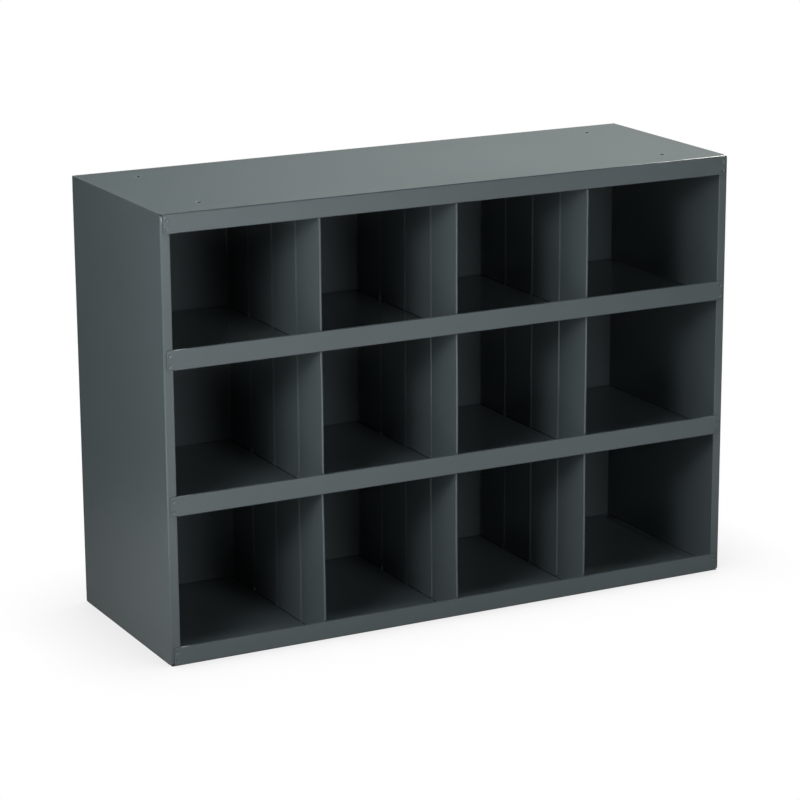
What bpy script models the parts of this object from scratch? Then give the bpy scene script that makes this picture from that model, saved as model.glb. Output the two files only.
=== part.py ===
"""Pigeonhole mail sorter: a welded sheet-steel case with two shelves and nine
dividers, making three rows of four open holes.

Frame: metres, +Z up, +X to the right of someone facing the open front, the
front facing -Y. The origin is under the middle of the case, on the floor.
Every sheet is drawn as its outer skin, bent along its flange lines, and then
thickened towards the inside.
"""

import math

import bmesh
import bpy
from mathutils import Matrix, Vector

# ---------------------------------------------------------------- dimensions
WIDTH = 0.85725          # 33 3/4 in
DEPTH = 0.3048           # 12 in
HEIGHT = 0.6064          # 23 7/8 in

SHEET = 0.0009           # case, back and shelves
DIVIDER_SHEET = 0.00075
GAP = 0.0003             # between sheets that lie on each other
BEND = 0.0016            # outer radius of a bend
BEND_STEPS = 3
TIGHT_BEND = 0.0010      # the sides' top and bottom flanges, so that the corner seams are close
HEM_BEND = 0.00115       # outer radius of a folded-over edge
HEM_STEPS = 6
HEM_RETURN = 0.0075      # how far a folded-over edge runs back

FASCIA = 0.0262          # down-turned front of the top
LIP = 0.0277             # up-turned front of a shelf
BOTTOM_LIP = 0.0254      # up-turned front of the bottom
FLANGE = 0.0130          # welding flanges of the case
LIP_INSET = 0.0040       # from the end of a lip to the outside of the case
CORNER = 0.0045          # cut-away at the corners of the bent sheets
FLANGE_CLEAR = 0.0010    # between a lip's folded edge and a side flange

LOWER_SHELF_Z = 0.2045   # undersides of the shelves
UPPER_SHELF_Z = 0.4006
SHELF_BACK_FLANGE = 0.0127

HOLE_DIAMETER = 0.00635  # 1/4 in, for bolting units together
HOLE_FROM_SIDE = 0.0762
HOLE_FROM_FRONT = (0.0508, 0.2540)
HOLE_SIDES = 20

DIVIDER_PITCH = 0.2032   # 8 in
DIVIDER_FRONT = 0.0040   # recess of the dividers behind the front
DIVIDER_BACK = 0.0006    # their clearance from the shelves' back flanges
DIVIDER_HEM = 0.00155    # outer radius of their folded front edge
DIVIDER_HEM_RETURN = 0.0080
DIVIDER_FLANGE = 0.0120
DIVIDER_BEND = 0.0013
RIB_SPACING = 0.0762     # pressed ribs at the quarter depths
RIB_WIDTH = 0.0050
RIB_HEIGHT = 0.0011
RIB_RELIEF = 0.0045      # ribs stop short of the bends at top and bottom

X_OUT = WIDTH / 2
Y_FRONT = -DEPTH / 2
Y_BACK = DEPTH / 2
SIDE_Y_FRONT = Y_FRONT + SHEET + GAP          # the side flanges lie behind the lips
BACK_FACE = Y_BACK - 2 * SHEET - GAP          # inner face of the back panel
SHELF_BACK = BACK_FACE - GAP
X_HEM = X_OUT - FLANGE - FLANGE_CLEAR         # lips are folded over between the side flanges
X_LIP = X_OUT - LIP_INSET
X_SHELF = X_OUT - SHEET - GAP

PAINT = (0.112, 0.128, 0.133, 1.0)            # dark cool grey enamel, linear
PAINT_ROUGHNESS = 0.38
PAINT_METALLIC = 0.0

QUARTER = math.pi / 2
AXIS_X = Vector((1.0, 0.0, 0.0))
AXIS_Y = Vector((0.0, 1.0, 0.0))
AXIS_Z = Vector((0.0, 0.0, 1.0))


# ------------------------------------------------------------------- helpers
def clear_scene():
    for obj in list(bpy.data.objects):
        bpy.data.objects.remove(obj, do_unlink=True)


def new_collection(name, hidden=False):
    collection = bpy.data.collections.new(name)
    bpy.context.scene.collection.children.link(collection)
    collection.hide_render = hidden
    return collection


def paint(name):
    material = bpy.data.materials.new(name + "_paint")
    material.use_nodes = True
    shader = material.node_tree.nodes["Principled BSDF"]
    shader.inputs["Base Color"].default_value = PAINT
    shader.inputs["Roughness"].default_value = PAINT_ROUGHNESS
    shader.inputs["Metallic"].default_value = PAINT_METALLIC
    material.diffuse_color = PAINT
    return material


def sheet_grid(us, vs, place):
    """A flat sheet as a grid of cells, with lines at us and vs."""
    bm = bmesh.new()
    bmesh.ops.create_grid(bm, x_segments=len(us) - 1, y_segments=len(vs) - 1, size=0.5)
    points = sorted(bm.verts, key=lambda v: (round(v.co.y, 5), round(v.co.x, 5)))
    for index, vert in enumerate(points):
        vert.co = place(us[index % len(us)], vs[index // len(us)])
    return bm


def cut_cells(bm, test):
    """Removes the cells whose middle passes the test."""
    cells = [face for face in bm.faces if test(face.calc_center_median())]
    bmesh.ops.delete(bm, geom=cells, context="FACES")


def rim(bm, test):
    """The open edges whose both ends pass the test."""
    return [
        edge for edge in bm.edges
        if edge.is_boundary and all(test(vert.co) for vert in edge.verts)
    ]


def near(a, b):
    return abs(a - b) < 2e-6


def fold(bm, edges, centre, axis, angle, steps):
    """Bends the sheet on from these edges, round an axis through centre."""
    verts = list({vert for edge in edges for vert in edge.verts})
    made = bmesh.ops.spin(
        bm, geom=verts + edges, cent=centre, axis=axis, angle=angle,
        steps=steps, space=Matrix.Identity(4),
    )
    return [item for item in made["geom_last"] if isinstance(item, bmesh.types.BMEdge)]


def run(bm, edges, step):
    """Carries the sheet on, flat, from these edges."""
    made = bmesh.ops.extrude_edge_only(bm, edges=edges)["geom"]
    verts = [item for item in made if isinstance(item, bmesh.types.BMVert)]
    bmesh.ops.translate(bm, verts=verts, vec=step)
    ends = set(verts)
    return [
        item for item in made
        if isinstance(item, bmesh.types.BMEdge) and all(vert in ends for vert in item.verts)
    ]


def make_sheet(bm, name, thickness, outward, collection):
    """Makes an object from a bent skin whose largest face looks outward."""
    bmesh.ops.remove_doubles(bm, verts=bm.verts, dist=1e-6)
    bmesh.ops.recalc_face_normals(bm, faces=bm.faces)
    bm.normal_update()
    largest = max(bm.faces, key=lambda face: face.calc_area())
    if largest.normal.dot(outward) < 0:
        bmesh.ops.reverse_faces(bm, faces=bm.faces)
    mesh = bpy.data.meshes.new(name)
    bm.to_mesh(mesh)
    bm.free()
    obj = bpy.data.objects.new(name, mesh)
    collection.objects.link(obj)
    mesh.materials.append(paint(name))
    solid = obj.modifiers.new("thickness", "SOLIDIFY")
    solid.thickness = thickness
    solid.offset = -1.0
    solid.use_even_offset = True
    return obj


def bolt_hole_cutter(name, z, collection):
    """Four upright pegs, joined as one cutter, for a panel's bolt holes."""
    bm = bmesh.new()
    for side in (-1, 1):
        for from_front in HOLE_FROM_FRONT:
            place = Matrix.Translation(
                (side * (X_OUT - HOLE_FROM_SIDE), Y_FRONT + from_front, z)
            )
            bmesh.ops.create_cone(
                bm, cap_ends=True, segments=HOLE_SIDES, radius1=HOLE_DIAMETER / 2,
                radius2=HOLE_DIAMETER / 2, depth=0.006, matrix=place,
            )
    mesh = bpy.data.meshes.new(name)
    bm.to_mesh(mesh)
    bm.free()
    obj = bpy.data.objects.new(name, mesh)
    collection.objects.link(obj)
    obj.hide_render = True
    obj.display_type = "WIRE"
    return obj


def cut(obj, cutter):
    modifier = obj.modifiers.new("bolt_holes", "BOOLEAN")
    modifier.operation = "DIFFERENCE"
    modifier.solver = "EXACT"
    modifier.object = cutter


# ---------------------------------------------------------------- case sheets
def in_hem(edge):
    """Whether this edge of a lip lies between the side flanges."""
    return abs(sum(vert.co.x for vert in edge.verts) / 2) < X_HEM


def front_lip(bm, z_bend, z_edge):
    """Carries a front flange on from its bend at z_bend to its free edge at
    z_edge: folded over between the side flanges, plain where it laps them."""
    up = 1.0 if z_edge > z_bend else -1.0
    reach = abs(z_edge - z_bend)
    start = rim(bm, lambda p: near(p.y, Y_FRONT) and near(p.z, z_bend))
    middle = [edge for edge in start if in_hem(edge)]
    ears = [edge for edge in start if not in_hem(edge)]
    if not ears:
        # the lip grows its ears sideways, in front of the side flanges
        top = run(bm, middle, Vector((0, 0, up * (reach - HEM_BEND))))
        for side in (-1, 1):
            ends = rim(bm, lambda p: near(p.y, Y_FRONT) and near(p.x, side * X_HEM)
                       and up * (p.z - z_bend) > -1e-6)
            run(bm, ends, Vector((side * (X_LIP - X_HEM), 0, 0)))
        tips = rim(bm, lambda p: near(p.y, Y_FRONT) and near(p.z, z_edge - up * HEM_BEND))
        tips = [edge for edge in tips if not in_hem(edge)]
        run(bm, tips, Vector((0, 0, up * HEM_BEND)))
    else:
        top = run(bm, middle + ears, Vector((0, 0, up * (reach - HEM_BEND))))
        tips = [edge for edge in top if not in_hem(edge)]
        top = [edge for edge in top if in_hem(edge)]
        run(bm, tips, Vector((0, 0, up * HEM_BEND)))
    centre = Vector((0, Y_FRONT + HEM_BEND, z_edge - up * HEM_BEND))
    back = fold(bm, top, centre, AXIS_X, -up * math.pi, HEM_STEPS)
    run(bm, back, Vector((0, 0, -up * HEM_RETURN)))


def end_panel(name, z_skin, up, lip, collection):
    """The top (up = -1: its flanges turn down) or the bottom (up = +1)."""
    us = [-X_OUT, -X_LIP, -X_HEM, X_HEM, X_LIP, X_OUT]
    vs = [Y_FRONT + BEND, Y_FRONT + CORNER, Y_BACK - CORNER, Y_BACK - BEND]
    bm = sheet_grid(us, vs, lambda u, v: Vector((u, v, z_skin)))
    cut_cells(bm, lambda p: abs(p.x) > X_LIP and (p.y < vs[1] or p.y > vs[2]))
    front = rim(bm, lambda p: near(p.y, vs[0]))
    back = rim(bm, lambda p: near(p.y, vs[3]))
    fold(bm, front, Vector((0, vs[0], z_skin + up * BEND)), AXIS_X, -up * QUARTER, BEND_STEPS)
    front_lip(bm, z_skin + up * BEND, z_skin + up * lip)
    end = fold(bm, back, Vector((0, vs[3], z_skin + up * BEND)), AXIS_X, up * QUARTER, BEND_STEPS)
    run(bm, end, Vector((0, 0, up * (FLANGE - BEND))))
    return make_sheet(bm, name, SHEET, -up * AXIS_Z, collection)


def side_panel(name, side, collection):
    """A side sheet with flanges turned inward on all four edges."""
    low, high = SHEET + GAP, HEIGHT - SHEET - GAP
    us = [SIDE_Y_FRONT + BEND, SIDE_Y_FRONT + CORNER, Y_BACK - CORNER, Y_BACK - BEND]
    clear = FLANGE + 0.0015
    vs = [low + TIGHT_BEND, low + CORNER, low + clear, high - clear, high - CORNER, high - TIGHT_BEND]
    x_skin = side * X_OUT
    x_bend = x_skin - side * BEND
    x_tight = x_skin - side * TIGHT_BEND
    inward = Vector((-side * (FLANGE - BEND), 0, 0))
    bm = sheet_grid(us, vs, lambda u, v: Vector((x_skin, u, v)))
    front = rim(bm, lambda p: near(p.y, us[0]) and vs[1] - 1e-5 < p.z < vs[4] + 1e-5)
    back = rim(bm, lambda p: near(p.y, us[3]) and vs[2] - 1e-5 < p.z < vs[3] + 1e-5)
    bottom = rim(bm, lambda p: near(p.z, vs[0]) and us[1] - 1e-5 < p.y < us[2] + 1e-5)
    top = rim(bm, lambda p: near(p.z, vs[5]) and us[1] - 1e-5 < p.y < us[2] + 1e-5)
    run(bm, fold(bm, front, Vector((x_bend, us[0], 0)), AXIS_Z, -side * QUARTER, BEND_STEPS), inward)
    run(bm, fold(bm, back, Vector((x_bend, us[3], 0)), AXIS_Z, side * QUARTER, BEND_STEPS), inward)
    run(bm, fold(bm, bottom, Vector((x_tight, 0, vs[0])), AXIS_Y, side * QUARTER, BEND_STEPS), inward)
    run(bm, fold(bm, top, Vector((x_tight, 0, vs[5])), AXIS_Y, -side * QUARTER, BEND_STEPS), inward)
    return make_sheet(bm, name, SHEET, side * AXIS_X, collection)


def back_sheet(name, collection):
    y_skin = Y_BACK - SHEET - GAP
    edge = SHEET + GAP
    bm = sheet_grid([-X_SHELF, X_SHELF], [edge, HEIGHT - edge], lambda u, v: Vector((u, y_skin, v)))
    return make_sheet(bm, name, SHEET, AXIS_Y, collection)


def shelf(name, z_under, collection):
    """A shelf: lip turned up in front, welding flange turned down at the back."""
    us = [-X_SHELF, -X_HEM, X_HEM, X_SHELF]
    vs = [Y_FRONT + BEND, SIDE_Y_FRONT + SHEET + 2 * GAP, SHELF_BACK - BEND]
    bm = sheet_grid(us, vs, lambda u, v: Vector((u, v, z_under)))
    cut_cells(bm, lambda p: abs(p.x) > X_HEM and p.y < vs[1])
    front = rim(bm, lambda p: near(p.y, vs[0]))
    fold(bm, front, Vector((0, vs[0], z_under + BEND)), AXIS_X, -QUARTER, BEND_STEPS)
    front_lip(bm, z_under + BEND, z_under + LIP)
    inner = BEND - SHEET
    back = rim(bm, lambda p: near(p.y, vs[2]))
    end = fold(bm, back, Vector((0, vs[2], z_under - inner)), AXIS_X, -QUARTER, BEND_STEPS)
    run(bm, end, Vector((0, 0, -(SHELF_BACK_FLANGE - inner))))
    return make_sheet(bm, name, SHEET, -AXIS_Z, collection)


def divider(name, x_middle, z_low, z_high, collection):
    """An upright: folded front edge, three pressed ribs on its left face, and
    welding tabs turned to the right at the foot and the head."""
    x_face = x_middle - DIVIDER_SHEET / 2
    y_hem = Y_FRONT + DIVIDER_FRONT + DIVIDER_HEM
    y_end = SHELF_BACK - SHEET - DIVIDER_BACK
    ribs = [Y_FRONT + RIB_SPACING * count for count in (1, 2, 3)]
    # outline of the face, front to back: flat runs broken by the ribs
    line = [(y_hem, 0.0), (y_hem + DIVIDER_HEM_RETURN + 0.002, 0.0)]
    for rib in ribs:
        for part in (-0.5, -0.25, 0.0, 0.25, 0.5):
            swell = RIB_HEIGHT * math.cos(math.pi * part) ** 2
            line.append((rib + part * RIB_WIDTH, swell))
    line.append((y_end, 0.0))
    levels = [z_low + DIVIDER_BEND, z_low + DIVIDER_BEND + RIB_RELIEF,
              z_high - DIVIDER_BEND - RIB_RELIEF, z_high - DIVIDER_BEND]
    bm = sheet_grid(list(range(len(line))), levels,
                    lambda u, v: Vector((x_face - line[u][1], line[u][0], v)))

    def on_rib(p):
        return any(abs(p.y - rib) < RIB_WIDTH / 2 for rib in ribs)

    cut_cells(bm, lambda p: on_rib(p) and (p.z < levels[1] or p.z > levels[2]))
    start = line[1][0] - 1e-6
    for level, turn in ((levels[0], 1.0), (levels[3], -1.0)):
        edges = rim(bm, lambda p: near(p.z, level) and p.y > start)
        ends = fold(bm, edges, Vector((x_face + DIVIDER_BEND, 0, level)), AXIS_Y,
                    -turn * QUARTER, BEND_STEPS)
        run(bm, ends, Vector((DIVIDER_FLANGE - DIVIDER_BEND, 0, 0)))
    front = rim(bm, lambda p: near(p.y, y_hem) and near(p.x, x_face))
    back = fold(bm, front, Vector((x_face + DIVIDER_HEM, y_hem, 0)), AXIS_Z, math.pi, HEM_STEPS + 2)
    run(bm, back, Vector((0, DIVIDER_HEM_RETURN, 0)))
    return make_sheet(bm, name, DIVIDER_SHEET, -AXIS_X, collection)


# ------------------------------------------------------------------- assembly
def main():
    clear_scene()
    parts = new_collection("pigeonhole_mail_sorter")
    cutters = new_collection("cutters", hidden=True)

    side_panel("left_side", -1, parts)
    side_panel("right_side", 1, parts)
    top = end_panel("top_panel", HEIGHT, -1, FASCIA, parts)
    cut(top, bolt_hole_cutter("top_hole_pegs", HEIGHT - SHEET / 2, cutters))
    bottom = end_panel("bottom_panel", 0.0, 1, BOTTOM_LIP, parts)
    cut(bottom, bolt_hole_cutter("bottom_hole_pegs", SHEET / 2, cutters))
    back_sheet("back_panel", parts)
    shelf("lower_shelf", LOWER_SHELF_Z, parts)
    shelf("upper_shelf", UPPER_SHELF_Z, parts)

    rows = {
        "top": (UPPER_SHELF_Z + SHEET + GAP, HEIGHT - SHEET - GAP),
        "middle": (LOWER_SHELF_Z + SHEET + GAP, UPPER_SHELF_Z - GAP),
        "bottom": (SHEET + GAP, LOWER_SHELF_Z - GAP),
    }
    columns = {"left": -DIVIDER_PITCH, "centre": 0.0, "right": DIVIDER_PITCH}
    for row, (low, high) in rows.items():
        for column, x in columns.items():
            divider("divider_%s_%s" % (row, column), x, low, high, parts)


main()
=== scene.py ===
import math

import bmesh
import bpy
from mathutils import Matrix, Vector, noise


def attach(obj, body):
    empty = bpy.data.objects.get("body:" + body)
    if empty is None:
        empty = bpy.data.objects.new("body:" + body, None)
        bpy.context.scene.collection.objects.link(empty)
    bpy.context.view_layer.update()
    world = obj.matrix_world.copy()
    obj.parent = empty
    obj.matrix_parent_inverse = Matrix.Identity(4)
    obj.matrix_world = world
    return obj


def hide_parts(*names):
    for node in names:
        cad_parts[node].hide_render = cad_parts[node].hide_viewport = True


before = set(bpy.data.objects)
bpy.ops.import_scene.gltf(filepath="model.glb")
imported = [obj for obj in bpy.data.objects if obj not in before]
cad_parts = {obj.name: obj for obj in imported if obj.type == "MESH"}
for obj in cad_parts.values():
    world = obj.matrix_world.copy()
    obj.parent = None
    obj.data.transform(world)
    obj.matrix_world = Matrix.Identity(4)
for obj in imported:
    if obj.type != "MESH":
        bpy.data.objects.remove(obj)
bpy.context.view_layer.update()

# Pigeonhole mail sorter: the finished look of every sheet of the welded steel
# case. Each sheet is drawn again in finer steps on the place that its solid
# holds: rounded bends, folded hems, pressed ribs, spot-weld marks, chamfered
# bolt holes and softened cut edges, under a semi-gloss grey baked enamel.

# ---------------------------------------------------------------- dimensions
WIDTH = 0.85725
DEPTH = 0.3048
HEIGHT = 0.6064

SHEET = 0.0009
DIVIDER_SHEET = 0.00075
GAP = 0.0003
SEAM = 0.00006           # drawn gap along the outer seams and under the uprights
BEND = 0.0016
BEND_STEPS = 7
TIGHT_BEND = 0.0006
HEM_BEND = 0.00115
HEM_STEPS = 14
HEM_RETURN = 0.0075

FASCIA = 0.0262
LIP = 0.0277
BOTTOM_LIP = 0.0254
FLANGE = 0.0130
LIP_INSET = 0.0040
CORNER = 0.0045
CORNER_CUT = 0.0095      # front corners of the top and bottom sheets, cut off aslant
FLANGE_END = 0.0019      # the front flanges of the sides stop this far from the top and bottom
RELIEF = 0.0115          # the flanges under the top and bottom stop this far from the corners
FLANGE_CLEAR = 0.0010
EAR_ROUND = 0.0042       # rounded corners of the lips where they lap the sides

LOWER_SHELF_Z = 0.2045
UPPER_SHELF_Z = 0.4006
SHELF_BACK_FLANGE = 0.0127

HOLE_RADIUS = 0.003175
HOLE_CHAMFER = 0.00014
HOLE_FROM_SIDE = 0.0762
HOLE_FROM_FRONT = (0.0508, 0.2540)

DIVIDER_PITCH = 0.2032
DIVIDER_FRONT = 0.0040
DIVIDER_BACK = 0.0006
DIVIDER_HEM = 0.00155
DIVIDER_HEM_RETURN = 0.0080
DIVIDER_FLANGE = 0.0120
DIVIDER_BEND = 0.00095
RIB_SPACING = 0.0762
RIB_WIDTH = 0.0050
RIB_HEIGHT = 0.0015
RELIEF_RADIUS = 0.0030   # round cut-outs where a rib meets a bend

X_OUT = WIDTH / 2
Y_FRONT = -DEPTH / 2
Y_BACK = DEPTH / 2
SIDE_Y_FRONT = Y_FRONT + SHEET + GAP
BACK_FACE = Y_BACK - 2 * SHEET - GAP
SHELF_BACK = BACK_FACE - GAP
X_HEM = X_OUT - FLANGE - FLANGE_CLEAR
X_LIP = X_OUT - LIP_INSET
X_SHELF = X_OUT - SHEET - GAP

SPOT = 0.0026            # radius of a spot-weld mark
SPOT_DEPTH = 0.00045
SPOT_X = X_OUT - 0.0088  # the marks on the laps at the ends of the lips
PANEL_STEP = 0.024
EDGE_ROUND = 0.00017
# how far below zero the sharpness value goes on bends that face up and forward, for painted shade there
PAINTED_BEND_SHADE = 0.80


# ------------------------------------------------------------ sheet building
class Skin:
    """The outer face of one bent sheet, gathered as strips of cells. Strips
    are joined wherever their points fall together."""

    def __init__(self):
        self.points = []
        self.lookup = {}
        self.cells = []

    def point(self, place):
        key = tuple(round(value * 1e6 + 0.137) for value in place)
        if key not in self.lookup:
            self.lookup[key] = len(self.points)
            self.points.append(place)
        return self.lookup[key]

    def strip(self, across, along, place):
        """Cells between the lines across, carried along an outline."""
        for p, q in zip(along, along[1:]):
            for u, v in zip(across, across[1:]):
                self.cells.append((
                    self.point(place(u, p)), self.point(place(v, p)),
                    self.point(place(v, q)), self.point(place(u, q)),
                ))


def spread(low, high, step):
    count = max(1, math.ceil((high - low) / step - 1e-6))
    return [low + (high - low) * index / count for index in range(count + 1)]


def ruled(keys, step):
    """Lines at every key, and evenly between keys that are further apart."""
    keys = sorted(keys)
    made = [keys[0]]
    for low, high in zip(keys, keys[1:]):
        if high - low > 2e-5:
            made += spread(low, high, step)[1:]
    return made


def beside(edge, inward):
    """Lines close behind a bend, so that its shading stays on it."""
    return [edge + inward * reach for reach in (0.0012, 0.0040)]


def round_spot(middle):
    """Lines across a weld mark."""
    return [middle + SPOT * 0.28 * count for count in range(-6, 7)]


def spot_cell(middle):
    """Lines either side of a weld mark, which is drawn finer inside them."""
    return [middle - SPOT * 1.7, middle + SPOT * 1.7]


def inside(lines, low, high):
    return [line for line in lines if low - 1e-7 <= line <= high + 1e-7]


def arc(centre, radius, start, end, steps):
    """Points round an arc, in degrees."""
    made = []
    for index in range(steps + 1):
        angle = math.radians(start + (end - start) * index / steps)
        made.append((centre[0] + radius * math.cos(angle), centre[1] + radius * math.sin(angle)))
    return made


def rounded(u, v, u_end, v_end, radius):
    """Moves a point of a square corner onto a corner of this radius."""
    du, dv = u - (u_end - radius), v - (v_end - radius)
    if du <= 0 or dv <= 0:
        return u, v
    shrink = max(du, dv) / math.hypot(du, dv)
    return u_end - radius + du * shrink, v_end - radius + dv * shrink


def press_spots(bm, spots):
    """Presses the weld marks into the sheet: a shallow dish in a low ring."""
    for spot in spots:
        cells = [
            face for face in bm.faces
            if (face.calc_center_median() - spot).length < SPOT * 0.2 and face.calc_area() > SPOT ** 2
        ]
        edges = list({edge for face in cells for edge in face.edges})
        if edges:
            bmesh.ops.subdivide_edges(bm, edges=edges, cuts=11, use_grid_fill=True)
    bm.normal_update()
    for vert in bm.verts:
        move = 0.0
        for spot in spots:
            reach = (vert.co - spot).length / SPOT
            if reach < 1.75:
                dish = max(0.0, 1.0 - reach ** 2) ** 0.6
                ring = math.exp(-((reach - 1.16) / 0.22) ** 2)
                move += SPOT_DEPTH * (0.42 * ring - dish)
        if move:
            vert.co = vert.co + vert.normal * move


def edge_wear_and_painted_light(mesh, bores=()):
    """Clears slivers, and writes for the material how sharply the sheet turns
    at each point; the material lightens sharp edges with it, as wear and a
    painted highlight. It is below zero where the material paints shade: in the
    bores of holes, and on the bends that face up and forward."""
    bm = bmesh.new()
    bm.from_mesh(mesh)
    bmesh.ops.remove_doubles(bm, verts=bm.verts, dist=3e-6)
    bmesh.ops.dissolve_degenerate(bm, edges=bm.edges, dist=1e-6)
    flaps = [
        face for face in bm.faces
        if min(len(edge.link_faces) for edge in face.edges) == 1
        and max(len(edge.link_faces) for edge in face.edges) > 2
    ]
    bmesh.ops.delete(bm, geom=flaps, context="FACES_ONLY")
    bmesh.ops.delete(bm, geom=[edge for edge in bm.edges if not edge.link_faces], context="EDGES")
    bmesh.ops.delete(bm, geom=[vert for vert in bm.verts if not vert.link_faces], context="VERTS")
    bmesh.ops.holes_fill(bm, edges=[edge for edge in bm.edges if edge.is_boundary], sides=8)
    bm.normal_update()
    layer = bm.verts.layers.float.new("edge_wear_and_painted_light")
    for vert in bm.verts:
        turn = math.degrees(max((edge.calc_face_angle(0.0) for edge in vert.link_edges), default=0.0))
        vert[layer] = min(1.0, turn / 42)
        # bends that face up and forward get a value below zero: painted shade
        if 5 < turn < 25:
            facing = ease(-vert.normal.y, 0.08, 0.35) * ease(vert.normal.z, 0.10, 0.45)
            vert[layer] -= (vert[layer] + PAINTED_BEND_SHADE) * facing
        # the bores of the holes get -1: painted shade that makes them read dark
        for x, y in bores:
            if math.hypot(vert.co.x - x, vert.co.y - y) < HOLE_RADIUS + 0.00002:
                vert[layer] = -1.0
    bm.to_mesh(mesh)
    bm.free()


def settle(obj):
    """Turns the object's modifiers into its mesh."""
    graph = bpy.context.evaluated_depsgraph_get()
    mesh = bpy.data.meshes.new_from_object(obj.evaluated_get(graph))
    obj.modifiers.clear()
    obj.data = mesh
    return mesh


def make_piece(skin, node, thickness, outward, material, spots=(), sway=None, cutter=None, bores=()):
    """A finished sheet on the place of its solid."""
    bm = bmesh.new()
    verts = [bm.verts.new(point) for point in skin.points]
    for cell in skin.cells:
        bm.faces.new([verts[index] for index in cell])
    bmesh.ops.remove_doubles(bm, verts=bm.verts, dist=2e-6)
    bmesh.ops.recalc_face_normals(bm, faces=bm.faces)
    facing = sum(face.calc_area() * face.normal.dot(outward) for face in bm.faces)
    if facing < 0:
        bmesh.ops.reverse_faces(bm, faces=bm.faces)
    press_spots(bm, spots)
    if sway:
        for vert in bm.verts:
            vert.co = vert.co + sway(vert.co)
    mesh = bpy.data.meshes.new(node + "_skin")
    bm.to_mesh(mesh)
    bm.free()
    piece = bpy.data.objects.new(node + "_sheet", mesh)
    bpy.context.scene.collection.objects.link(piece)
    solid = piece.modifiers.new("thickness", "SOLIDIFY")
    solid.thickness = thickness
    solid.offset = -1.0
    solid.use_even_offset = True
    if cutter:
        cut = piece.modifiers.new("holes", "BOOLEAN")
        cut.operation = "DIFFERENCE"
        cut.solver = "EXACT"
        cut.object = cutter
    soften = piece.modifiers.new("cut_edges", "BEVEL")
    soften.width = EDGE_ROUND
    soften.segments = 2
    soften.limit_method = "ANGLE"
    soften.angle_limit = math.radians(58)
    soften.use_clamp_overlap = True
    mesh = settle(piece)
    if cutter:
        bpy.data.objects.remove(cutter, do_unlink=True)
    mesh.name = node + "_sheet"
    mesh.materials.clear()
    mesh.materials.append(material)
    edge_wear_and_painted_light(mesh, bores)
    mesh.shade_smooth()
    mesh.set_sharp_from_angle(angle=math.radians(36))
    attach(piece, "root")
    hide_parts(node)
    return piece


def cutter_from(bm, name):
    mesh = bpy.data.meshes.new(name)
    bm.to_mesh(mesh)
    bm.free()
    obj = bpy.data.objects.new(name, mesh)
    bpy.context.scene.collection.objects.link(obj)
    obj.hide_render = True
    return obj


def bolt_holes(z_skin, up):
    """Four pegs with a flare at the outer face, for chamfered holes."""
    bm = bmesh.new()
    outline = [
        (0.0, 0.004), (HOLE_RADIUS, 0.004), (HOLE_RADIUS, HOLE_CHAMFER),
        (HOLE_RADIUS + HOLE_CHAMFER, 0.0), (HOLE_RADIUS + 2.2 * HOLE_CHAMFER, -0.0012), (0.0, -0.0012),
    ]
    sides = 40
    for x in (-(X_OUT - HOLE_FROM_SIDE), X_OUT - HOLE_FROM_SIDE):
        for from_front in HOLE_FROM_FRONT:
            y = Y_FRONT + from_front
            rings = []
            for radius, depth in outline:
                if radius == 0.0:
                    rings.append([bm.verts.new((x, y, z_skin + up * depth))])
                    continue
                rings.append([
                    bm.verts.new((
                        x + radius * math.cos(2 * math.pi * count / sides),
                        y + radius * math.sin(2 * math.pi * count / sides),
                        z_skin + up * depth,
                    ))
                    for count in range(sides)
                ])
            for a, b in zip(rings, rings[1:]):
                for count in range(sides):
                    follow = (count + 1) % sides
                    if len(a) == 1:
                        bm.faces.new((a[0], b[count], b[follow]))
                    elif len(b) == 1:
                        bm.faces.new((a[count], a[follow], b[0]))
                    else:
                        bm.faces.new((a[count], a[follow], b[follow], b[count]))
    bmesh.ops.recalc_face_normals(bm, faces=bm.faces)
    return cutter_from(bm, "bolt_hole_pegs")


def rib_reliefs(x_face, ribs, z_low, z_high):
    """Round pegs across the foot and the head of each rib."""
    bm = bmesh.new()
    for rib in ribs:
        for z in (z_low + 0.0019, z_high - 0.0019):
            place = Matrix.Translation((x_face + 0.0004, rib, z)) @ Matrix.Rotation(math.pi / 2, 4, "Y")
            bmesh.ops.create_cone(
                bm, cap_ends=True, segments=28, radius1=RELIEF_RADIUS, radius2=RELIEF_RADIUS,
                depth=0.0074, matrix=place,
            )
    return cutter_from(bm, "rib_relief_pegs")


def ripple(place, size, seed):
    """A smooth wander between -1 and 1, as thin sheet has."""
    return noise.noise(Vector((place.x / size + seed, place.y / size - seed * 0.7, place.z / size + seed * 1.3)))


def ease(value, low, high):
    t = min(1.0, max(0.0, (value - low) / (high - low)))
    return t * t * (3 - 2 * t)


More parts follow.
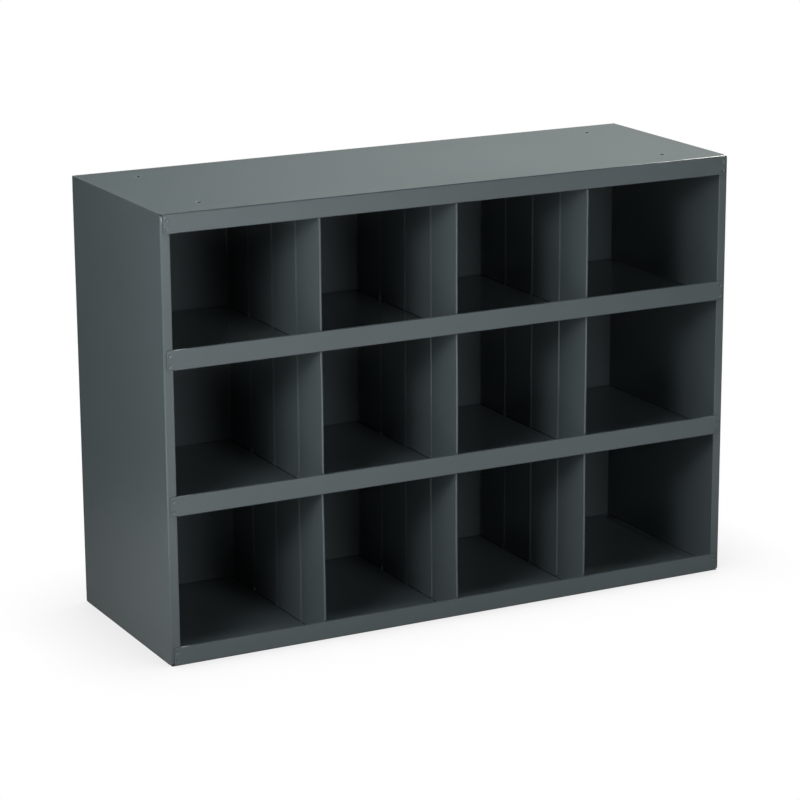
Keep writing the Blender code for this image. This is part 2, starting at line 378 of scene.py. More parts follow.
# ------------------------------------------------------------------ materials
def enamel(name, seed, tint=1.0, roughness=0.11):
    """Semi-gloss grey baked enamel on steel: faint clouding of the colour, a
    fine orange peel, uneven gloss, and a little rubbing along edges, where the
    colour is also lightened as a painted highlight. It also paints shade: dark
    in the bores of holes and on the bends that face up and forward, and darker
    in crevices."""
    material = bpy.data.materials.new(name)
    material.use_nodes = True
    tree = material.node_tree
    nodes, links = tree.nodes, tree.links
    nodes.clear()

    def add(kind, x, y, **settings):
        node = nodes.new(kind)
        node.location = (x, y)
        for key, value in settings.items():
            setattr(node, key, value)
        return node

    def texture(x, y, scale, detail, rough, shift):
        mapping = add("ShaderNodeMapping", x - 200, y)
        mapping.inputs["Location"].default_value = (seed + shift, seed * 0.6 - shift, shift * 1.7)
        links.new(coordinates.outputs["Object"], mapping.inputs["Vector"])
        node = add("ShaderNodeTexNoise", x, y)
        node.inputs["Scale"].default_value = scale
        node.inputs["Detail"].default_value = detail
        node.inputs["Roughness"].default_value = rough
        links.new(mapping.outputs["Vector"], node.inputs["Vector"])
        return node.outputs["Fac"]

    def remap(source, x, y, from_low, from_high, to_low, to_high):
        node = add("ShaderNodeMapRange", x, y)
        node.inputs["From Min"].default_value = from_low
        node.inputs["From Max"].default_value = from_high
        node.inputs["To Min"].default_value = to_low
        node.inputs["To Max"].default_value = to_high
        links.new(source, node.inputs["Value"])
        return node.outputs["Result"]

    def mix_colour(factor, a, b, x, y):
        node = add("ShaderNodeMix", x, y, data_type="RGBA", blend_type="MIX")
        links.new(factor, node.inputs["Factor"])
        for value, socket in ((a, node.inputs[6]), (b, node.inputs[7])):
            if isinstance(value, tuple):
                socket.default_value = value
            else:
                links.new(value, socket)
        return node.outputs[2]

    def combine(kind, a, b, x, y):
        node = add("ShaderNodeMath", x, y, operation=kind)
        for value, socket in ((a, node.inputs[0]), (b, node.inputs[1])):
            if isinstance(value, float):
                socket.default_value = value
            else:
                links.new(value, socket)
        return node.outputs["Value"]

    def grey(level):
        level *= tint
        return (PAINT[0] * level, PAINT[1] * level, PAINT[2] * level, 1.0)

    coordinates = add("ShaderNodeTexCoord", -1500, 0)
    output = add("ShaderNodeOutputMaterial", 700, 0)
    shader = add("ShaderNodeBsdfPrincipled", 400, 0)
    links.new(shader.outputs["BSDF"], output.inputs["Surface"])
    shader.inputs["IOR"].default_value = 1.5
    shader.inputs["Coat Weight"].default_value = COAT
    shader.inputs["Coat Roughness"].default_value = 0.14

    cloud = texture(-1000, 500, 4.5, 3.0, 0.5, 0.0)
    mottle = texture(-1000, 250, 42.0, 4.0, 0.55, 3.1)
    speck = texture(-1000, 0, 620.0, 2.0, 0.5, 7.7)
    peel = texture(-1000, -250, 950.0, 1.0, 0.4, 1.9)
    drift = texture(-1000, -500, 70.0, 2.0, 0.5, 5.3)
    rub = texture(-1000, -750, 130.0, 4.0, 0.6, 9.1)

    clouded = mix_colour(remap(cloud, -700, 500, 0.32, 0.68, 0.0, 1.0), grey(0.955), grey(1.045), -450, 500)
    mottled = mix_colour(remap(mottle, -700, 250, 0.30, 0.70, 0.0, 0.30), clouded, grey(1.06), -250, 400)
    specked = mix_colour(remap(speck, -700, 0, 0.60, 0.80, 0.0, 0.10), mottled, grey(1.30), -50, 300)

    sharp = add("ShaderNodeAttribute", -1000, -1000, attribute_type="GEOMETRY", attribute_name="edge_wear_and_painted_light")
    keen = remap(sharp.outputs["Fac"], -700, -1000, 0.36, 0.95, 0.0, 1.0)
    # sharp edges and bends are lightened towards grey(1.55): rubbing of the paint plus a painted highlight
    rub_and_highlight = combine("MULTIPLY", keen, remap(rub, -700, -750, 0.42, 0.62, 0.15, 1.0), -450, -850)
    wear_and_painted_light = mix_colour(combine("MULTIPLY", rub_and_highlight, 0.70, -250, -850), specked, grey(1.55), 50, 200)
    # where the sharpness value is below zero the colour goes dark towards grey(0.20): painted shade on the bores
    # of holes and on bends that face up and forward
    painted_bend_and_bore_shade = remap(sharp.outputs["Fac"], -700, -1150, -1.0, 0.0, 1.0, 0.0)
    wear_and_painted_light = mix_colour(painted_bend_and_bore_shade, wear_and_painted_light, grey(0.20), 120, 200)
    # ambient occlusion darkens the colour towards grey(0.42) in crevices, seams and concave corners: painted
    # shade
    crevice_occlusion = add("ShaderNodeAmbientOcclusion", -250, 700, samples=6)
    crevice_occlusion.inputs["Distance"].default_value = 0.0030
    with_painted_crevice_shade = mix_colour(remap(crevice_occlusion.outputs["AO"], 0, 700, 0.35, 0.85, 0.0, 1.0), grey(0.42), wear_and_painted_light, 200, 300)
    links.new(with_painted_crevice_shade, shader.inputs["Base Color"])

    gloss = remap(mottle, -700, -100, 0.30, 0.70, roughness - 0.015, roughness + 0.020)
    gloss = combine("ADD", gloss, remap(cloud, -700, -200, 0.30, 0.70, -0.012, 0.012), -450, -100)
    gloss = combine("ADD", gloss, combine("MULTIPLY", rub_and_highlight, 0.05, -450, -300), -250, -100)
    links.new(gloss, shader.inputs["Roughness"])

    waves = add("ShaderNodeBump", 0, -450)
    waves.inputs["Strength"].default_value = 0.35
    waves.inputs["Distance"].default_value = 0.00008
    links.new(drift, waves.inputs["Height"])
    skin = add("ShaderNodeBump", 200, -350)
    skin.inputs["Strength"].default_value = 0.14
    skin.inputs["Distance"].default_value = 0.000028
    links.new(peel, skin.inputs["Height"])
    links.new(waves.outputs["Normal"], skin.inputs["Normal"])
    links.new(skin.outputs["Normal"], shader.inputs["Normal"])
    return material


PAINT = (0.0975, 0.1203, 0.1270)   # linear
COAT = 0.0

CASE = enamel("case_enamel", 1.0)
BACK = enamel("back_enamel", 4.0, tint=0.98, roughness=0.13)
SHELF = enamel("shelf_enamel", 7.0)
DIVIDER = enamel("divider_enamel", 11.0, tint=1.01)


# ---------------------------------------------------------------- case sheets
def lip_rows(lip, marks):
    """Lines down a front lip, from its bend to the start of its folded edge."""
    keys = [BEND, lip - HEM_BEND] + beside(BEND, 1) + beside(lip - HEM_BEND, -1)
    keys += [lip - EAR_ROUND * part for part in (0.45, 0.7, 0.9, 1.0)]
    for mark in marks:
        keys += round_spot(mark)
    return ruled(inside(keys, BEND, lip - HEM_BEND), 0.005)


def ear_lines():
    """Lines across the lap of a lip on a side flange."""
    keys = [X_HEM, X_LIP] + round_spot(SPOT_X)
    keys += [X_LIP - EAR_ROUND * part for part in (0.12, 0.3, 0.5, 0.75, 1.0)]
    return ruled(inside(keys, X_HEM, X_LIP), 0.0016)


def folded_edge(skin, xs, lip, place):
    """The fold and the return of a lip's free edge."""
    hem = arc((Y_FRONT + HEM_BEND, lip - HEM_BEND), HEM_BEND, 180, 0, HEM_STEPS)
    back = ruled([lip - HEM_BEND - HEM_RETURN, lip - HEM_BEND], 0.003)[::-1]
    skin.strip(xs, hem, place)
    skin.strip(xs, [(hem[-1][0], depth) for depth in back], place)


def front_lip(skin, middle, lip, marks, place, both):
    """A front lip below its bend: folded over between the side flanges, with
    a lap at each end. both rounds the corner next to the bend as well."""
    rows = lip_rows(lip, marks)
    tips = ruled([lip - HEM_BEND, lip], 0.0005)
    skin.strip(middle, [(Y_FRONT, depth) for depth in rows], place)
    folded_edge(skin, middle, lip, place)
    ear = ear_lines()
    for side in (-1, 1):

        def lap(u, p, side=side):
            x, depth = rounded(u, p[1], X_LIP, lip, EAR_ROUND)
            if both:
                x, depth = rounded(x, -depth, X_LIP, -BEND, EAR_ROUND * 0.8)
                depth = -depth
            return place(side * x, (p[0], depth))

        skin.strip(ear, [(Y_FRONT, depth) for depth in rows], lap)
        skin.strip(ear, [(Y_FRONT, depth) for depth in tips], lap)


def lip_marks(z_skin, up, marks):
    return [
        Vector((side * SPOT_X, Y_FRONT, z_skin + up * mark))
        for side in (-1, 1) for mark in marks
    ]


def flange_marks(low, high, count):
    return [low + (high - low) * (index + 0.5) / count for index in range(count)]


def end_panel(node, z_skin, up, lip, marks, seed):
    """The top (up = -1: its flanges turn down) or the bottom (up = +1)."""
    skin = Skin()

    def place(x, p):
        return (x, p[0], z_skin + up * p[1])

    holes = X_OUT - HOLE_FROM_SIDE
    back_spots = flange_marks(-X_LIP, X_LIP, 9)
    keys = [-X_HEM, X_HEM] + [s * (holes + o) for s in (-1, 1) for o in (-0.007, 0.007)]
    for spot in back_spots:
        keys += spot_cell(spot)
    middle = ruled(inside(keys, -X_HEM, X_HEM), PANEL_STEP)
    ear = ear_lines()
    wide = [-x for x in ear[:0:-1]] + middle + ear[1:]
    rest = ruled([X_LIP, X_OUT - 0.0016, X_OUT], 0.002)
    whole = [-x for x in rest[:0:-1]] + wide + rest[1:]

    front, back = Y_FRONT + BEND, Y_BACK - BEND
    keys = [Y_FRONT + CORNER_CUT, Y_BACK - CORNER_CUT]
    keys += beside(Y_FRONT + CORNER_CUT, 1) + beside(Y_BACK - CORNER_CUT, -1)
    keys += [Y_FRONT + h + o for h in HOLE_FROM_FRONT for o in (-0.007, 0.007)]
    fore = ruled([front, front + 0.0012, Y_FRONT + CORNER_CUT], 0.003)
    aft = ruled([Y_BACK - CORNER_CUT, back - 0.0012, back], 0.003)

    def aslant(x, p):
        """The front corners are cut off aslant, from the ends of the bend, and
        the back corners barely."""
        share = min(p[0] - front, back - p[0]) / (CORNER_CUT - BEND)
        cut = 0.88 if p[0] < 0.0 else 0.06
        reach = (abs(x) - X_LIP) * (1.0 - cut + cut * share)
        return place(math.copysign(X_LIP + reach, x), p)

    skin.strip(whole, [(y, 0.0) for y in ruled(keys, PANEL_STEP)], place)
    for rows in (fore, aft):
        skin.strip(wide, [(y, 0.0) for y in rows], place)
        skin.strip(rest, [(y, 0.0) for y in rows], aslant)
        skin.strip([-x for x in rest[::-1]], [(y, 0.0) for y in rows], aslant)
    skin.strip(wide, arc((front, BEND), BEND, 270, 180, BEND_STEPS), place)
    front_lip(skin, middle, lip, marks, place, False)
    skin.strip(wide, arc((back, BEND), BEND, 270, 360, BEND_STEPS), place)
    keys = [BEND, BEND + 0.0012, FLANGE] + spot_cell(FLANGE * 0.60)
    skin.strip(wide, [(Y_BACK, depth) for depth in ruled(keys, 0.010)], place)

    spots = lip_marks(z_skin, up, marks)
    spots += [Vector((x, Y_BACK, z_skin + up * FLANGE * 0.60)) for x in back_spots]

    def sway(p):
        if abs(p.z - z_skin) > 1e-6 or up > 0:
            return Vector()
        edge = min(X_OUT - abs(p.x), p.y - Y_FRONT, Y_BACK - p.y)
        for x in (-holes, holes):
            for h in HOLE_FROM_FRONT:
                edge = min(edge, max(0.0, math.hypot(p.x - x, p.y - Y_FRONT - h) - 0.012))
        swell = 0.5 + 0.5 * ripple(p, 0.17, seed)
        return Vector((0, 0, 0.00055 * swell * ease(edge, 0.0, 0.06)))

    return make_piece(skin, node, SHEET, Vector((0, 0, -up)), CASE,
                      spots, sway, bolt_holes(z_skin, up),
                      [(x, Y_FRONT + h) for x in (-holes, holes) for h in HOLE_FROM_FRONT])


def side_panel(node, side, seed):
    """A side sheet with flanges turned inward on all four edges."""
    skin = Skin()
    low, high = SHEET + SEAM, HEIGHT - SHEET - SEAM
    clear = FLANGE + 0.0015

    def place(z, p):
        return (side * (X_OUT - p[0]), p[1], z)

    def place_flat(y, p):
        return (side * (X_OUT - p[0]), y, p[1])

    back_spots = flange_marks(low + clear, high - clear, 7)
    keys = [low + TIGHT_BEND, low + FLANGE_END, low + clear, high - clear, high - FLANGE_END, high - TIGHT_BEND]
    for spot in back_spots:
        keys += spot_cell(spot)
    zs = ruled(keys, PANEL_STEP)
    front, back = SIDE_Y_FRONT + BEND, Y_BACK - BEND
    keys = [front, SIDE_Y_FRONT + CORNER, Y_BACK - CORNER, back, front + 0.0012, back - 0.0012]
    keys += [SIDE_Y_FRONT + RELIEF, Y_BACK - RELIEF]
    ys = ruled(keys, PANEL_STEP)
    skin.strip(zs, [(0.0, y) for y in ys], place)

    front_zs = inside(zs, low + FLANGE_END, high - FLANGE_END)
    skin.strip(front_zs, arc((BEND, front), BEND, 180, 270, BEND_STEPS), place)
    reach = ruled([BEND, FLANGE] + beside(BEND, 1), 0.003)
    skin.strip(front_zs, [(e, SIDE_Y_FRONT) for e in reach], place)
    back_zs = inside(zs, low + clear, high - clear)
    skin.strip(back_zs, arc((BEND, back), BEND, 180, 90, BEND_STEPS), place)
    keys = [BEND, BEND + 0.0012, FLANGE] + spot_cell(FLANGE * 0.60)
    skin.strip(back_zs, [(e, Y_BACK) for e in ruled(keys, 0.010)], place)
    flat_ys = inside(ys, SIDE_Y_FRONT + RELIEF, Y_BACK - RELIEF)
    reach = ruled([TIGHT_BEND, FLANGE] + beside(TIGHT_BEND, 1), 0.004)
    skin.strip(flat_ys, arc((TIGHT_BEND, high - TIGHT_BEND), TIGHT_BEND, 180, 90, 5), place_flat)
    skin.strip(flat_ys, [(e, high) for e in reach], place_flat)
    skin.strip(flat_ys, arc((TIGHT_BEND, low + TIGHT_BEND), TIGHT_BEND, 180, 270, 5), place_flat)
    skin.strip(flat_ys, [(e, low) for e in reach], place_flat)
    for near, far in ((front, SIDE_Y_FRONT + RELIEF), (Y_BACK - RELIEF, back)):
        for level, edge in ((low + TIGHT_BEND, low), (high - TIGHT_BEND, high)):
            def place_tab(y, p):
                """Beside a bend the straight edge is cut a little aslant."""
                clear = 0.0004 * abs(p[1] - level) / TIGHT_BEND
                clear *= (abs(y - SIDE_Y_FRONT - RELIEF) < 1e-7) - (abs(y - Y_BACK + RELIEF) < 1e-7)
                return place_flat(y - clear, p)
            skin.strip(inside(ys, near, far), [(0.0, level), (0.0, edge)], place_tab)

    spots = [Vector((side * (X_OUT - FLANGE * 0.60), Y_BACK, z)) for z in back_spots]

    def sway(p):
        if abs(abs(p.x) - X_OUT) > 1e-6:
            return Vector()
        edge = min(p.z - low, high - p.z, p.y - SIDE_Y_FRONT, Y_BACK - p.y)
        swell = 0.5 + 0.5 * ripple(p, 0.19, seed)
        return Vector((side * 0.00050 * swell * ease(edge, 0.0, 0.06), 0, 0))

    return make_piece(skin, node, SHEET, Vector((side, 0, 0)), CASE, spots, sway)


def back_panel():
    """The back sheet, with the weld marks of the two shelves across it."""
    skin = Skin()
    y_skin = Y_BACK - SHEET - GAP
    edge = SHEET + SEAM
    wide = X_OUT - SHEET - SEAM
    levels = [z - SHELF_BACK_FLANGE * 0.55 for z in (LOWER_SHELF_Z, UPPER_SHELF_Z)]
    columns = flange_marks(-wide, wide, 8)
    xs, zs = [-wide, wide], [edge, HEIGHT - edge]
    for x in columns:
        xs += spot_cell(x)
    for z in levels:
        zs += spot_cell(z)
    skin.strip(ruled(xs, PANEL_STEP), ruled(zs, PANEL_STEP), lambda x, z: (x, y_skin, z))
    spots = [Vector((x, y_skin, z)) for x in columns for z in levels]

    def sway(p):
        reach = min(wide - abs(p.x), p.z - edge, HEIGHT - edge - p.z)
        reach = min([reach] + [max(0.0, abs(p.z - z) - 0.012) for z in levels])
        return Vector((0, 0.00012 * ripple(p, 0.2, 2.3) * ease(reach, 0.0, 0.05), 0))

    return make_piece(skin, "back_panel", SHEET, Vector((0, 1, 0)), BACK, spots, sway)


def shelf(node, z_under, marks, seed):
    """A shelf: lip turned up in front, welding flange turned down behind."""
    skin = Skin()

    def place(x, p):
        return (x, p[0], z_under + p[1])

    middle = ruled([-X_HEM, X_HEM], PANEL_STEP)
    ends = ruled([X_HEM, X_SHELF - 0.002, X_SHELF], 0.006)
    whole = [-x for x in ends[:0:-1]] + middle + ends[1:]
    front, notch, back = Y_FRONT + BEND, SIDE_Y_FRONT + SHEET + 2 * GAP, SHELF_BACK - BEND
    inner = BEND - SHEET
    skin.strip(middle, arc((front, BEND), BEND, 270, 180, BEND_STEPS), place)
    skin.strip(middle, [(y, 0.0) for y in (front, notch)], place)
    keys = [notch, back] + beside(notch, 1) + beside(back, -1)
    skin.strip(whole, [(y, 0.0) for y in ruled(keys, PANEL_STEP)], place)
    front_lip(skin, middle, LIP, marks, place, True)
    skin.strip(whole, arc((back, -inner), inner, 90, 0, BEND_STEPS), place)
    keys = [-SHELF_BACK_FLANGE, -inner] + beside(-inner, -1)
    skin.strip(whole, [(SHELF_BACK - SHEET, d) for d in ruled(keys, 0.004)], place)

    def sway(p):
        if abs(p.z - z_under) > 1e-6:
            return Vector()
        reach = min(X_SHELF - abs(p.x), p.y - Y_FRONT, SHELF_BACK - p.y)
        reach = min([reach] + [max(0.0, abs(p.x - x) - 0.016) for x in COLUMNS.values()])
        return Vector((0, 0, 0.00020 * ripple(p, 0.15, seed) * ease(reach, 0.0, 0.05)))

    return make_piece(skin, node, SHEET, Vector((0, 0, -1)), SHELF,
                      lip_marks(z_under, 1, marks), sway)


def divider(node, x_middle, z_low, z_high, lean, bow, seed):
    """An upright: folded front edge, three pressed ribs on its left face, and
    welding tabs turned to the right at the foot and the head. It leans and
    bows a little at the front, by lean (foot to head) and bow in metres."""
    skin = Skin()
    x_face = x_middle - DIVIDER_SHEET / 2
    y_hem = Y_FRONT + DIVIDER_FRONT + DIVIDER_HEM
    y_end = SHELF_BACK - SHEET - DIVIDER_BACK
    tab = y_hem + DIVIDER_HEM_RETURN + 0.002
    ribs = [Y_FRONT + RIB_SPACING * count for count in (1, 2, 3)]
    low, high = z_low + DIVIDER_BEND, z_high - DIVIDER_BEND
    zs = ruled([low, high] + beside(low, 1) + beside(high, -1), 0.016)

    def place(z, p):
        return (x_face + p[1], p[0], z)

    hem = arc((y_hem, DIVIDER_HEM), DIVIDER_HEM, 270, 90, HEM_STEPS)
    skin.strip(zs, hem, place)
    skin.strip(zs, [(y, 2 * DIVIDER_HEM) for y in ruled([y_hem, y_hem + DIVIDER_HEM_RETURN], 0.004)], place)
    face = ruled([y_hem, y_hem + 0.0012, tab], 0.005)
    flats = []
    start = tab
    for rib in ribs:
        keys = [start, rib - RIB_WIDTH / 2, rib - RIB_WIDTH / 2 - 0.0012]
        if start > tab:
            keys.append(start + 0.0012)
        flats.append(ruled(keys, 0.018))
        start = rib + RIB_WIDTH / 2
    flats.append(ruled([start, start + 0.0012, y_end], 0.018))
    skin.strip(zs, [(y, 0.0) for y in face], place)
    for index, flat in enumerate(flats):
        skin.strip(zs, [(y, 0.0) for y in flat], place)
        if index < len(ribs):
            swell = []
            for step in range(15):
                part = step / 14 - 0.5
                swell.append((ribs[index] + part * RIB_WIDTH, -RIB_HEIGHT * math.cos(math.pi * part) ** 2))
            skin.strip(zs, swell, place)

    def place_tab(y, p):
        return (x_face + p[0], y, p[1])

    reach = ruled([DIVIDER_BEND, DIVIDER_FLANGE] + beside(DIVIDER_BEND, 1), 0.004)
    foot = arc((DIVIDER_BEND, low), DIVIDER_BEND, 180, 270, BEND_STEPS) + [(e, z_low) for e in reach[1:]]
    head = arc((DIVIDER_BEND, high), DIVIDER_BEND, 180, 90, BEND_STEPS) + [(e, z_high) for e in reach[1:]]
    for flat in flats:
        skin.strip(flat, foot, place_tab)
        skin.strip(flat, head, place_tab)

    def sway(p):
        rise = (p.z - z_low) / (z_high - z_low)
        ahead = 1.0 - ease(p.y, Y_FRONT, Y_FRONT + 0.24)
        move = (lean * (rise - 0.5) + bow * math.sin(math.pi * rise)) * ahead
        inner = ease(min(p.z - z_low, z_high - p.z, y_end - p.y), 0.0, 0.05)
        return Vector((move + 0.00022 * ripple(p, 0.11, seed) * inner, 0, 0))

    return make_piece(skin, node, DIVIDER_SHEET, Vector((-1, 0, 0)), DIVIDER,
                      (), sway, rib_reliefs(x_face, ribs, z_low, z_high))


# ------------------------------------------------------------------- assembly
COLUMNS = {"left": -DIVIDER_PITCH, "centre": 0.0, "right": DIVIDER_PITCH}
ROWS = {
    "top": (UPPER_SHELF_Z + SHEET + SEAM, HEIGHT - SHEET - GAP),
    "middle": (LOWER_SHELF_Z + SHEET + SEAM, UPPER_SHELF_Z - GAP),
    "bottom": (SHEET + SEAM, LOWER_SHELF_Z - GAP),
}
# lean and bow of each upright's front edge, in millimetres
LEANS = {
    "top_left": (-0.5, -0.2), "top_centre": (-0.4, -0.2), "top_right": (0.2, 0.3),
    "middle_left": (-0.5, 0.4), "middle_centre": (-0.2, 0.3), "middle_right": (0.9, 0.3),
    "bottom_left": (-1.6, 0.5), "bottom_centre": (-1.4, -0.4), "bottom_right": (-0.4, 0.3),
}

side_panel("left_side", -1, 3.7)
side_panel("right_side", 1, 8.2)
end_panel("top_panel", HEIGHT, -1, FASCIA, (0.0080, 0.0200), 5.1)
end_panel("bottom_panel", 0.0, 1, BOTTOM_LIP, (0.0070, 0.0180), 6.4)
back_panel()
shelf("lower_shelf", LOWER_SHELF_Z, (0.0066, 0.0210), 1.6)
shelf("upper_shelf", UPPER_SHELF_Z, (0.0066, 0.0214), 9.3)
for row, (z_low, z_high) in ROWS.items():
    for column, x_middle in COLUMNS.items():
        lean, bow = LEANS[row + "_" + column]
        divider("divider_%s_%s" % (row, column), x_middle, z_low, z_high,
                lean / 1000, bow / 1000, 1.9 * len(row) + 40 * x_middle)


# ----------------------------------------------------------------- the studio
def pale_floor():
    """A wide plain white floor with a soft shade close around the case, and in
    the dark right under it. It is clear from below, so the underside can be
    seen, and it neither blocks nor bounces light: the low panels stand for its
    bounce."""
    bm = bmesh.new()
    bmesh.ops.create_circle(bm, cap_ends=True, segments=96, radius=40.0)
    mesh = bpy.data.meshes.new("floor")
    bm.to_mesh(mesh)
    bm.free()
    floor = bpy.data.objects.new("floor", mesh)
    bpy.context.scene.collection.objects.link(floor)
    floor.location = (0, 0, -0.0003)
    floor.visible_diffuse = False
    floor.visible_glossy = False
    floor.visible_transmission = False
    floor.visible_shadow = False
    material = bpy.data.materials.new("pale_floor")
    material.use_nodes = True
    tree = material.node_tree
    tree.nodes.remove(tree.nodes["Principled BSDF"])
    shade = tree.nodes.new("ShaderNodeAmbientOcclusion")
    shade.samples = 16
    shade.inputs["Distance"].default_value = 0.16
    level = tree.nodes.new("ShaderNodeMapRange")
    level.inputs["From Min"].default_value = 0.45
    level.inputs["From Max"].default_value = 1.0
    level.inputs["To Min"].default_value = 0.80
    level.inputs["To Max"].default_value = 1.0
    pale = tree.nodes.new("ShaderNodeEmission")
    pale.inputs["Color"].default_value = (1.0, 1.0, 1.0, 1.0)
    clear = tree.nodes.new("ShaderNodeBsdfTransparent")
    side = tree.nodes.new("ShaderNodeNewGeometry")
    mix = tree.nodes.new("ShaderNodeMixShader")
    spot = tree.nodes.new("ShaderNodeTexCoord")
    across = tree.nodes.new("ShaderNodeSeparateXYZ")
    tree.links.new(spot.outputs["Object"], across.inputs["Vector"])
    outside = []
    for axis, half in (("X", X_OUT - 0.001), ("Y", Y_BACK - 0.001)):
        away = tree.nodes.new("ShaderNodeMath")
        away.operation = "ABSOLUTE"
        beyond = tree.nodes.new("ShaderNodeMath")
        beyond.operation = "GREATER_THAN"
        beyond.inputs[1].default_value = half
        tree.links.new(across.outputs[axis], away.inputs[0])
        tree.links.new(away.outputs["Value"], beyond.inputs[0])
        outside.append(beyond.outputs["Value"])
    either = tree.nodes.new("ShaderNodeMath")
    either.operation = "MAXIMUM"
    lit = tree.nodes.new("ShaderNodeMapRange")
    lit.inputs["To Min"].default_value = 0.012
    lit.inputs["To Max"].default_value = 1.0
    strength = tree.nodes.new("ShaderNodeMath")
    strength.operation = "MULTIPLY"
    tree.links.new(outside[0], either.inputs[0])
    tree.links.new(outside[1], either.inputs[1])
    tree.links.new(either.outputs["Value"], lit.inputs["Value"])
    tree.links.new(shade.outputs["AO"], level.inputs["Value"])
    tree.links.new(level.outputs["Result"], strength.inputs[0])
    tree.links.new(lit.outputs["Result"], strength.inputs[1])
    tree.links.new(strength.outputs["Value"], pale.inputs["Strength"])
    tree.links.new(side.outputs["Backfacing"], mix.inputs["Fac"])
    tree.links.new(pale.outputs["Emission"], mix.inputs[1])
    tree.links.new(clear.outputs["BSDF"], mix.inputs[2])
    tree.links.new(mix.outputs["Shader"], tree.nodes["Material Output"].inputs["Surface"])
    mesh.materials.append(material)
    return floor


def softbox(name, place, target, width, height, brightness, tint=(1.0, 1.0, 1.0)):
    """A soft panel light, brightest in its middle and fading to its edges. The
    camera doesn't see it."""
    data = bpy.data.lights.new(name, "AREA")
    data.shape = "RECTANGLE"
    data.size, data.size_y = width, height
    data.energy = brightness * math.pi * width * height
    data.color = tint
    data.use_nodes = True
    tree = data.node_tree
    spot = tree.nodes.new("ShaderNodeNewGeometry")
    across = tree.nodes.new("ShaderNodeSeparateXYZ")
    tree.links.new(spot.outputs["Parametric"], across.inputs["Vector"])
    fades = []
    for axis in ("X", "Y"):
        from_middle = tree.nodes.new("ShaderNodeMath")
        from_middle.operation = "SUBTRACT"
        from_middle.inputs[1].default_value = 0.5
        away = tree.nodes.new("ShaderNodeMath")
        away.operation = "ABSOLUTE"
        fade = tree.nodes.new("ShaderNodeMapRange")
        fade.interpolation_type = "SMOOTHSTEP"
        fade.inputs["From Min"].default_value = 0.10
        fade.inputs["From Max"].default_value = 0.50
        fade.inputs["To Min"].default_value = 1.0
        fade.inputs["To Max"].default_value = 0.0
        tree.links.new(across.outputs[axis], from_middle.inputs[0])
        tree.links.new(from_middle.outputs["Value"], away.inputs[0])
        tree.links.new(away.outputs["Value"], fade.inputs["Value"])
        fades.append(fade.outputs["Result"])
    level = tree.nodes.new("ShaderNodeMath")
    level.operation = "MULTIPLY"
    tree.links.new(fades[0], level.inputs[0])
    tree.links.new(fades[1], level.inputs[1])
    tree.links.new(level.outputs["Value"], tree.nodes["Emission"].inputs["Strength"])
    lamp = bpy.data.objects.new(name, data)
    bpy.context.scene.collection.objects.link(lamp)
    lamp.location = place
    aim = Vector(target) - Vector(place)
    lamp.rotation_mode = "QUATERNION"
    lamp.rotation_quaternion = aim.to_track_quat("-Z", "Y")
    lamp.visible_camera = False
    return lamp


def around(azimuth, height, reach):
    """A place round the case: azimuth from its left side towards its front."""
    turn, rise = math.radians(azimuth), math.radians(height)
    return (-math.cos(turn) * math.cos(rise) * reach, -math.sin(turn) * math.cos(rise) * reach,
            MIDDLE[2] + math.sin(rise) * reach)


def studio_world():
    """White to the camera and dark for lighting, so the holes stay dark."""
    world = bpy.data.worlds.new("studio")
    world.use_nodes = True
    bpy.context.scene.world = world
    tree = world.node_tree
    tree.nodes.clear()
    path = tree.nodes.new("ShaderNodeLightPath")
    dim = tree.nodes.new("ShaderNodeBackground")
    dim.inputs["Color"].default_value = (1.0, 1.0, 1.0, 1.0)
    dim.inputs["Strength"].default_value = AMBIENT
    white = tree.nodes.new("ShaderNodeBackground")
    white.inputs["Color"].default_value = (1.0, 1.0, 1.0, 1.0)
    white.inputs["Strength"].default_value = 1.0
    mix = tree.nodes.new("ShaderNodeMixShader")
    output = tree.nodes.new("ShaderNodeOutputWorld")
    tree.links.new(path.outputs["Is Camera Ray"], mix.inputs["Fac"])
    tree.links.new(dim.outputs["Background"], mix.inputs[1])
    tree.links.new(white.outputs["Background"], mix.inputs[2])
    tree.links.new(mix.outputs["Shader"], output.inputs["Surface"])


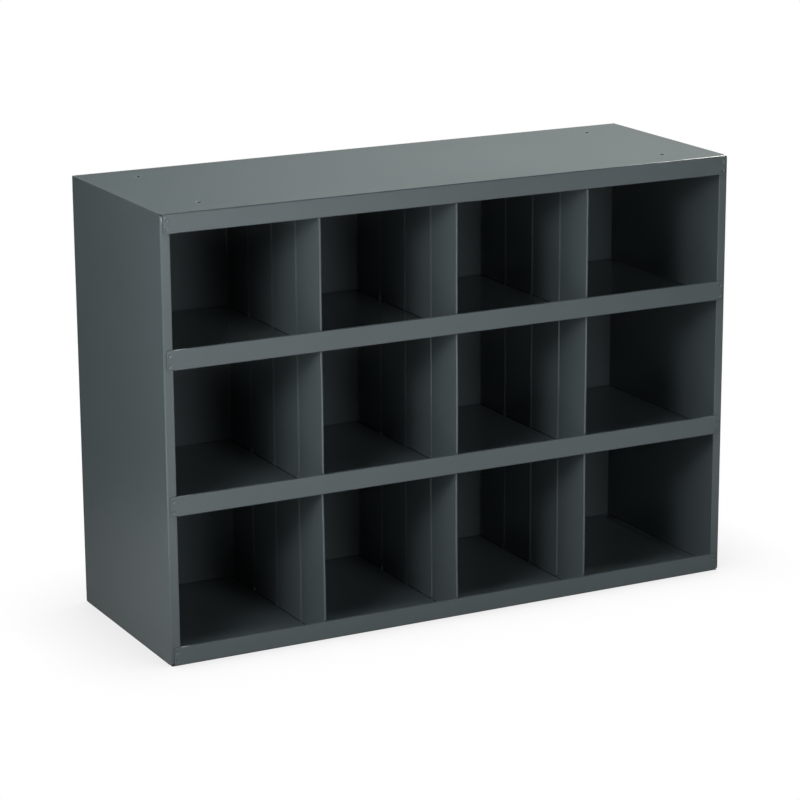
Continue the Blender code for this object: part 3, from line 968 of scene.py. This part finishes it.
AMBIENT = 0.0
MIDDLE = (0.0, 0.0, 0.3)
WARM = (1.0, 0.98, 0.93)
pale_floor()
studio_world()
softbox("overhead", (0.0, 0.0, 2.9), MIDDLE, 1.2, 1.2, 19.5, WARM)
softbox("high_front", (0.0, -0.9, 2.8), MIDDLE, 1.2, 1.2, 23.0)
softbox("rear_right", around(215, 30, 2.7), MIDDLE, 1.0, 1.0, 92.0, WARM)
softbox("rear_card", (2.65, 3.08, 1.35), (0.0, 0.0, 0.6), 4.5, 2.4, 0.235, WARM)
softbox("rear_left", around(300, 45, 2.7), MIDDLE, 1.05, 1.05, 9.0)
softbox("key", around(31, 21, 2.4), MIDDLE, 0.50, 0.50, 26.0)
softbox("key_front", around(38, 21, 2.4), MIDDLE, 0.50, 0.50, 9.2)
softbox("near_key", around(35, 30, 1.5), MIDDLE, 0.68, 0.68, 5.3)
softbox("low_left", around(20, 10, 1.5), MIDDLE, 0.68, 0.68, 6.4)
softbox("fill", around(90, 25, 2.7), MIDDLE, 1.05, 1.05, 4.1)
softbox("front", (0.30, -2.8, 0.82), (0.30, 0.0, 0.50), 1.0, 1.3, 7.4)
softbox("back_fill", around(272, 14, 2.7), MIDDLE, 1.05, 1.05, 12.0)
softbox("right", (2.8, 0.9, 1.2), MIDDLE, 1.8, 1.8, 1.5)
softbox("bounce", (-0.2, -1.8, -0.02), (-0.2, -1.7999, 10.0), 5.2, 5.8, 0.29)
softbox("bounce_front", (0.25, -1.2, -0.02), (0.25, -1.1999, 10.0), 3.1, 2.6, 0.27)
softbox("bounce_left", (-1.4, -0.35, -0.02), (-1.4, -0.3499, 10.0), 2.3, 2.4, 0.80)
softbox("bounce_far", (0.3, -3.2, -0.02), (0.3, -3.1999, 10.0), 4.0, 3.0, 0.65)
softbox("bounce_corner", (-1.0, -1.3, -0.02), (-1.0, -1.2999, 10.0), 2.2, 2.2, 0.85)

camera = bpy.data.objects.new("camera", bpy.data.cameras.new("camera"))
bpy.context.scene.collection.objects.link(camera)
camera.data.lens = 132.23
camera.data.sensor_width = 36.0
camera.data.clip_start, camera.data.clip_end = 0.05, 200.0
camera.location = (-1.8398, -3.5277, 1.3445)
camera.rotation_euler = (math.radians(74.924), math.radians(0.293), math.radians(-27.505))
bpy.context.scene.camera = camera
bpy.context.scene.view_settings.view_transform = "Standard"

bpy.context.view_layer.update()
